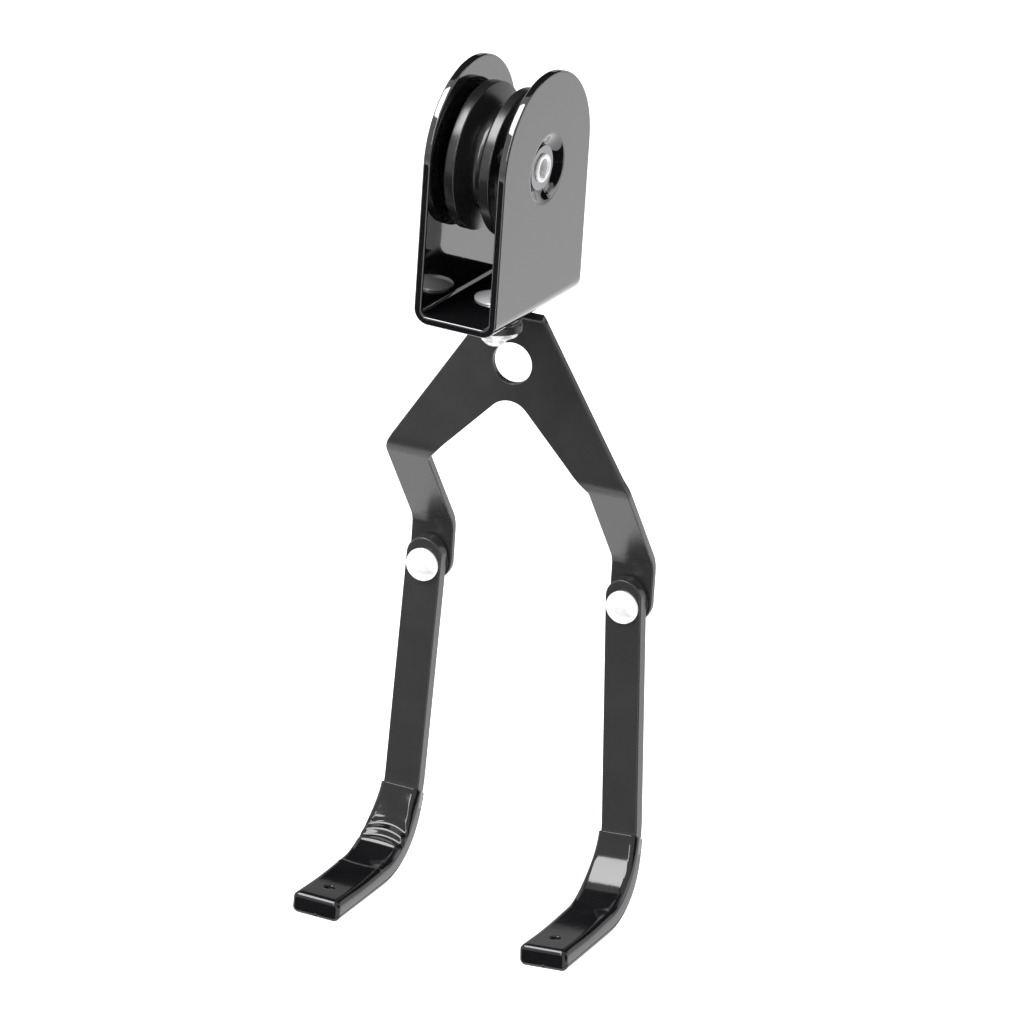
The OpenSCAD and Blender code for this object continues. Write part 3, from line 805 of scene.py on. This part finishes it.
def drilled(mesh):
    """The cover with its vent hole, flared at the mouth, and the gate mark on its end."""
    bmesh.ops.recalc_face_normals(mesh, faces=mesh.faces[:])
    cutter = bmesh.new()
    vent = Matrix.Translation((0, -BAR_T - HOOK_REACH + VENT_BACK, -HOOK_DROP - BAR_T / 2))
    flare = rounded([(0, 0.4, 0), (VENT_R, 0.4, 0), (VENT_R, BAR_T / 2 + INSIDES[-1] - 0.5, 0.5),
                     (VENT_R + VENT_FLARE, BAR_T / 2 + INSIDES[-1] + 0.3, 0),
                     (0, BAR_T / 2 + INSIDES[-1] + 0.3, 0)], 6)
    loft(cutter, [[tuple(vent @ Vector((r * math.cos(t), r * math.sin(t), h)))
                   for t in np.arange(32) * math.pi / 16] for r, h in flare[1:-1]],
         close_first=True, close_last=True)
    bmesh.ops.create_uvsphere(
        cutter, u_segments=24, v_segments=12, radius=GATE_R,
        matrix=Matrix.Translation((0.4, -BAR_T - HOOK_REACH - 0.45, -HOOK_DROP - BAR_T / 2)))
    bmesh.ops.recalc_face_normals(cutter, faces=cutter.faces[:])
    objects = []
    for name, part in (("cover", mesh), ("cutter", cutter)):
        data = bpy.data.meshes.new(name)
        part.to_mesh(data)
        part.free()
        objects.append(bpy.data.objects.new(name, data))
        scene.collection.objects.link(objects[-1])
    cut = objects[0].modifiers.new("drill", "BOOLEAN")
    cut.object, cut.operation, cut.solver = objects[1], "DIFFERENCE", "EXACT"
    depsgraph = bpy.context.evaluated_depsgraph_get()
    made = bpy.data.meshes.new_from_object(objects[0].evaluated_get(depsgraph))
    result = bmesh.new()
    result.from_mesh(made)
    bpy.data.meshes.remove(made)
    for thing in objects:
        data = thing.data
        bpy.data.objects.remove(thing)
        bpy.data.meshes.remove(data)
    return result


def make_cover(side, folded):
    mesh = bmesh.new()
    loft(mesh, cover_rings(folded), close_first=True, close_last=True)
    mesh = drilled(mesh)
    return piece_from(mesh, f"moulded_cover_{side}", f"hook_{side}", "cover_plastic",
                      f"hook_cover_{side}", hook_place(side), 50)


make_cover("left", True)
make_cover("right", False)

# %% [markdown]
# ## Turned pieces
# The wheel, the rivets, the washers and the sleeve are all round. On a lathe one cutter's path
# makes the whole piece, so one Geometry Nodes tree does that here: it sweeps a profile round a
# circle, closes the poles, and sets the finish. Each piece only gives its profile, in radius and
# height, with every corner softened a little, because nothing real has a knife edge.

# %% The lathe tree
CORE_MM = 1.0


def lathe_tree():
    tree = bpy.data.node_groups.new("lathe", "GeometryNodeTree")
    for label, kind in (("Profile", "Geometry"), ("Steps round", "Int"),
                        ("Core radius", "Float"), ("Finish", "Material")):
        tree.interface.new_socket(label, in_out="INPUT", socket_type=f"NodeSocket{kind}")
    tree.interface.new_socket("Piece", in_out="OUTPUT", socket_type="NodeSocketGeometry")

    def node(kind, **inputs):
        made = tree.nodes.new(kind)
        for key, source in inputs.items():
            if isinstance(source, bpy.types.NodeSocket):
                tree.links.new(source, made.inputs[key])
            else:
                made.inputs[key].default_value = source
        return made

    given = node("NodeGroupInput").outputs
    profile = node("GeometryNodeMeshToCurve", Mesh=given["Profile"])
    circle = node("GeometryNodeCurvePrimitiveCircle", Resolution=given["Steps round"],
                  Radius=given["Core radius"])
    sweep = node("GeometryNodeCurveToMesh", Curve=circle.outputs["Curve"])
    tree.links.new(profile.outputs["Curve"], sweep.inputs["Profile Curve"])
    merged = node("GeometryNodeMergeByDistance", Geometry=sweep.outputs["Mesh"], Distance=1e-6)
    real = node("GeometryNodeRealizeInstances", Geometry=merged.outputs["Geometry"])
    coated = node("GeometryNodeSetMaterial", Geometry=real.outputs["Geometry"],
                  Material=given["Finish"])
    node("NodeGroupOutput", Piece=coated.outputs["Geometry"])
    return tree


LATHE = lathe_tree()
LATHE_INPUTS = {item.name: item.identifier for item in LATHE.interface.items_tree
                if item.in_out == "INPUT"}


def turned(name, body, slot, node, place, profile, steps=96, sharp=None):
    """A piece from its profile (radius, height). It is a closed loop unless it starts and ends
    on the axis."""
    data = bpy.data.meshes.new(name)
    count = len(profile)
    open_ended = profile[0][0] < 1e-6 and profile[-1][0] < 1e-6
    edges = [(k, (k + 1) % count) for k in range(count - 1 if open_ended else count)]
    data.from_pydata([((r - CORE_MM) * MM, -h * MM, 0) for r, h in profile], edges, [])
    blank = bpy.data.objects.new(name, data)
    scene.collection.objects.link(blank)
    lathe = blank.modifiers.new("lathe", "NODES")
    lathe.node_group = LATHE
    lathe[LATHE_INPUTS["Steps round"]] = steps
    lathe[LATHE_INPUTS["Core radius"]] = CORE_MM * MM
    lathe[LATHE_INPUTS["Finish"]] = FINISHES[slot]
    depsgraph = bpy.context.evaluated_depsgraph_get()
    made = bpy.data.meshes.new_from_object(blank.evaluated_get(depsgraph))
    mesh = bmesh.new()
    mesh.from_mesh(made)
    bmesh.ops.scale(mesh, vec=(1 / MM,) * 3, verts=mesh.verts[:])
    bpy.data.objects.remove(blank)
    bpy.data.meshes.remove(data)
    bpy.data.meshes.remove(made)
    return piece_from(mesh, name, body, slot, node, place, sharp)


# %% Profiles
SOFT = 0.12
SHANK_R, WASHER_HOLE = 2.5, 5.1
ROUND_STEPS, SHARP = 96, 40


def washer_profile(outer, inner, thickness, soft=SOFT):
    """A washer from height 0 upwards, by its diameters."""
    return rounded([(inner / 2, 0, soft), (outer / 2, 0, soft),
                    (outer / 2, thickness, soft), (inner / 2, thickness, soft)], 4)


def cap(diameter, height, rim, steps=16):
    """The outline of a low domed head, from its soft rim up to its middle."""
    rise = height - rim
    ball = (diameter ** 2 / 4 + rise ** 2) / (2 * rise)
    edge = math.asin(diameter / 2 / ball)
    points = [(ball * math.sin(edge * (1 - k / steps)),
               height - ball + ball * math.cos(edge * (1 - k / steps)))
              for k in range(1, steps + 1)]
    points[-1] = (0.0, height)
    corner = rounded([(diameter / 2 - 1, 0, 0), (diameter / 2, 0, SOFT),
                      (diameter / 2, rim, 2 * SOFT), points[0] + (0,)], 4)
    return [tuple(p) for p in corner[1:-1]] + points


def pin_profile(top_head, shank, low_head, bottom, top):
    """A rivet: a head above height top, one below height bottom, and the shank between."""
    upper = [(r, top + h) for r, h in cap(*top_head)]
    lower = [(r, bottom - h) for r, h in cap(*low_head)]
    return lower[::-1] + [(shank, bottom), (shank, top)] + upper


# %% The wheel and its axle
ALONG_AXLE = Matrix.Rotation(math.pi / 2, 4, "Y")
SEAT_HALF, DISH_FACE = 10.1, 7.9
WHEEL_X, WHEEL_R, RIM_HALF, GROOVE_HALF = -1.44, 19.7, 6.6, 3.7
ROOT_R, ROOT_HALF, HUB_R, HUB_HALF, WEB_R, WEB_HALF = 13.2, 1.3, 7.5, 6.3, 15.7, 5.0
BORE_R, RIM_SOFT = 4.58, 0.5


def wheel_profile():
    half = [(BORE_R, HUB_HALF, 0.3), (HUB_R, HUB_HALF, RIM_SOFT), (HUB_R, WEB_HALF, 0.5),
            (WEB_R, WEB_HALF, 0.5), (WEB_R, RIM_HALF, 0.3), (WHEEL_R, RIM_HALF, RIM_SOFT),
            (WHEEL_R, GROOVE_HALF, RIM_SOFT), (ROOT_R, ROOT_HALF, 1.7)]
    other = [(r, -h, soft) for r, h, soft in reversed(half)]
    return rounded(half + other, 8)


turned("grooved_wheel", "pulley", "wheel_plastic", "pulley_wheel",
       Matrix.Translation((WHEEL_X * MM, 0, 0)) @ ALONG_AXLE, wheel_profile(), 160, SHARP)
turned("spacer_sleeve", "bracket", "axle_steel", "axle_sleeve", ALONG_AXLE,
       [(r, h - DISH_FACE) for r, h in washer_profile(9.0, 6.5, 2 * DISH_FACE)], 64, SHARP)
turned("dish_washer", "bracket", "axle_steel", "axle_washer", ALONG_AXLE,
       [(r, h + SEAT_HALF) for r, h in washer_profile(12.0, 6.5, 0.4, 0.1)],
       ROUND_STEPS, SHARP)


def axle_profile():
    """A head on the left, the shank, and the rolled lip round a blind bore on the right."""
    face = SEAT_HALF + 0.4
    head = [(r, -SEAT_HALF - h) for r, h in cap(11.5, 1.6, 0.5)]
    lip = rounded([(3.2, face - 1, 0), (3.2, face, 0), (3.9, face, 0.1),
                   (3.9, face + 0.7, 0.45), (2.4, face + 0.7, 0.62), (2.4, face - 4, 0)], 6)
    floor = face + 0.7 - 9.0
    return (head[::-1] + [(3.2, -SEAT_HALF)] + [tuple(p) for p in lip]
            + [(2.4, floor + 0.6), (2.0, floor + 0.15), (0.0, floor)])


turned("rolled_rivet", "bracket", "rivet_chrome", "axle_rivet", ALONG_AXLE,
       axle_profile(), ROUND_STEPS, SHARP)

# %% The swivel under the bracket
SPACER_T, LOWER_T = 1.6, 1.7
PEEN_Z = TONGUE_Z - LOWER_T
FLOOR_TOP = FLOOR_Z_MM + SHEET
turned("swivel_pin", "bracket", "rivet_chrome", "swivel_rivet", Matrix(),
       pin_profile((12.0, 1.6, 0.5), SHANK_R, (6.8, 3.6, 1.8), PEEN_Z, FLOOR_TOP),
       ROUND_STEPS, SHARP)
for name, node, diameter, top, thickness in (
        ("spacer_upper", "swivel_upper_washer", 12.0, FLOOR_Z_MM, SPACER_T),
        ("spacer_middle", "swivel_middle_washer", 12.0, FLOOR_Z_MM - SPACER_T, SPACER_T),
        ("washer_lower", "swivel_lower_washer", 12.4, TONGUE_Z, LOWER_T)):
    turned(name, "bracket", "rivet_chrome", node, Matrix(),
           [(r, h + top - thickness)
            for r, h in washer_profile(diameter, WASHER_HOLE, thickness, 0.3)],
           ROUND_STEPS, SHARP)

# %% The hooks' pivots
HOOK_WASHER_D, HOOK_WASHER_T, SWING_PLAY = 10.5, 0.7, 0.1
# The slip washer is a hair thinner than its gap, so that it and the bar share no plane
CLEAR = 0.03
PIN_BACK, PIN_FRONT = -SHEET - HOOK_WASHER_T, HOOK_WASHER_T + BAR_T + SWING_PLAY


def pivot_place(side):
    """The pivot's own frame: height 0 on the lug's front face, heights towards the front."""
    return (
        Matrix.Rotation(YOKE_TURN, 4, "Z")
        @ Matrix.Translation(Vector((SIDE[side] * PIVOT_HALF, LUG_Y, PIVOT_Z)) * MM)
        @ Matrix.Rotation(math.pi / 2, 4, "X"))


for side in SIDE:
    turned(f"hook_pin_{side}", "yoke", "rivet_chrome", f"hook_rivet_{side}", pivot_place(side),
           pin_profile((9.1, 2.0, 0.6), SHANK_R, (7.2, 1.4, 0.6), PIN_BACK, PIN_FRONT),
           ROUND_STEPS, SHARP)
    turned(f"slip_washer_{side}", "yoke", "washer_plastic", f"hook_pivot_washer_{side}",
           pivot_place(side),
           washer_profile(HOOK_WASHER_D, WASHER_HOLE, HOOK_WASHER_T - CLEAR), ROUND_STEPS, SHARP)
    turned(f"back_washer_{side}", "yoke", "axle_steel", f"hook_back_washer_{side}",
           pivot_place(side),
           [(r, h + PIN_BACK)
            for r, h in washer_profile(HOOK_WASHER_D, WASHER_HOLE, HOOK_WASHER_T)],
           ROUND_STEPS, SHARP)

# %% [markdown]
# ## The studio
# The block hangs free, so the floor lies well below it and its shadow falls out of the picture.
# Gloss black shows its surroundings more than itself. Photographers therefore build those
# surroundings: a pale floor that the flat faces mirror as grey, a big soft box up on the left
# whose image is the bright band in each hook's bend, a slim one in front for the thin lines on
# the edges, and dark cards where a tone should be deep. Only mirrors see the cards.

# %% Floor and walls
FLOOR_Z = -0.36
WHITE = (1.0, 1.0, 1.0)
# How much the floor adds for the camera and for mirrors, and the world's light on the object
SEEN_GLOW, MIRRORED_GLOW, WORLD_LIGHT = 0.80, 0.30, 0.55


def stage_plane(name, size, place, facing):
    """A square card, named as part of the stage."""
    mesh = bpy.data.meshes.new(name)
    mesh.from_pydata([(-0.5, -0.5, 0), (0.5, -0.5, 0), (0.5, 0.5, 0), (-0.5, 0.5, 0)],
                     [], [(0, 1, 2, 3)])
    card = bpy.data.objects.new(name, mesh)
    scene.collection.objects.link(card)
    turn = Vector(facing).to_track_quat("Z", "Y").to_matrix().to_4x4()
    card.matrix_world = (
        Matrix.Translation(place) @ turn @ Matrix.Diagonal((size[0], size[1], 1, 1)))
    return card


def floor_finish():
    """A pale floor that stays white to the camera and to mirrors, and keeps the shadow."""
    finish = Finish("floor", Base_Color=(0.86, 0.86, 0.86), Roughness=0.9)
    finish.set(Specular_IOR_Level=0.0)
    path = finish.tree.nodes.new("ShaderNodeLightPath")
    camera_ray, glossy_ray, through_ray = (
        Socket(finish.tree, path.outputs[f"Is {kind} Ray"])
        for kind in ("Camera", "Glossy", "Transmission"))
    mirrored = glossy_ray.math("MAXIMUM", glossy_ray, through_ray)
    glow = finish.mix(mirrored, (0.0, 0.0, 0.0), (MIRRORED_GLOW,) * 3)
    finish.set(
        Emission_Color=finish.mix(camera_ray, glow, (SEEN_GLOW,) * 3),
        Emission_Strength=1.0,
    )
    return finish.material


floor = stage_plane("floor", (12, 12), (0, 0, FLOOR_Z), (0, 0, 1))
floor.data.materials.append(floor_finish())

world = bpy.data.worlds.new("studio")
scene.world = world
world.use_nodes = True
tree = world.node_tree
path = tree.nodes.new("ShaderNodeLightPath")
seen = Socket(tree, path.outputs["Is Camera Ray"])
seen = seen.math("MAXIMUM", seen, Socket(tree, path.outputs["Is Glossy Ray"]))
seen = seen.math("MAXIMUM", seen, Socket(tree, path.outputs["Is Transmission Ray"]))
fill = seen * (1 - WORLD_LIGHT) + WORLD_LIGHT
set_socket(tree, tree.nodes["Background"].inputs["Strength"], fill)
tree.nodes["Background"].inputs["Color"].default_value = (*WHITE, 1)


# %% Helpers for soft boxes and dark cards
MIDDLE = Vector((0.0, 0.0, -0.09))


def direction(azimuth, elevation):
    """From the object, azimuth 0 towards -Y and 90 towards +X."""
    a, e = math.radians(azimuth), math.radians(elevation)
    return Vector((math.sin(a) * math.cos(e), -math.cos(a) * math.cos(e), math.sin(e)))


def soft_box(name, azimuth, elevation, distance, width, height, radiance):
    """A lamp of one size and brightness, turned towards the object."""
    lamp = bpy.data.lights.new(name, "AREA")
    lamp.shape, lamp.size, lamp.size_y = "RECTANGLE", width, height
    lamp.energy = radiance * math.pi * width * height
    box = bpy.data.objects.new(name, lamp)
    scene.collection.objects.link(box)
    out = direction(azimuth, elevation)
    box.matrix_world = (
        Matrix.Translation(MIDDLE + out * distance)
        @ out.to_track_quat("Z", "Y").to_matrix().to_4x4())
    box.visible_camera = False
    return box


def dark_card(name, size, place, facing, tone=0.0):
    """A card that only mirrors see, black unless it is given a tone."""
    card = stage_plane(name, size, place, facing)
    black = Finish(name, Base_Color=(0.0, 0.0, 0.0), Roughness=1.0, Specular_IOR_Level=0.0,
                   Emission_Color=(tone,) * 3, Emission_Strength=1.0)
    card.data.materials.append(black.material)
    card.visible_camera = card.visible_diffuse = card.visible_shadow = False
    return card


def flag(name, azimuth, elevation, width, height):
    """A dark card that hangs in a direction and faces the object."""
    out = direction(azimuth, elevation)
    return dark_card(name, (width, height), MIDDLE + out * FLAG_DISTANCE, -out)


# %% The lamps and cards
LAMP_DISTANCE, FLAG_DISTANCE, BACK_DISTANCE = 1.6, 1.2, 1.4
LEVEL = FLOOR_Z + 0.002
# Name, azimuth and elevation in degrees, width and height in metres, and radiance
for name, azimuth, elevation, width, height, radiance in (
        ("front_box", -40, 57, 0.90, 0.90, 14.0),
        ("strip_box", -8, 30, 0.22, 1.0, 14.0),
        ("side_box", 125, 8, 0.6, 1.0, 1.5)):
    soft_box(name, azimuth, elevation, LAMP_DISTANCE, width, height, radiance)
flag("flag_above", 180, 60, 1.4, 1.0)
flag("flag_right", 88, 4, 0.9, 0.85)
dark_card("card_right", (0.75, 0.65), Vector((0.82, 0.0, LEVEL)), (0, 0, 1))
dark_card("card_front", (0.95, 1.1), Vector((-0.32, -0.70, LEVEL)), (0, 0, 1))
behind = direction(206, 0)
dark_card("flag_behind", (3.4, 1.04), Vector((0, BACK_DISTANCE, 0.88)), (0, -1, 0))
dark_card("wall_behind", (1.8, 0.50), behind * BACK_DISTANCE + Vector((0, 0, 0.11)), -behind,
          tone=0.45)
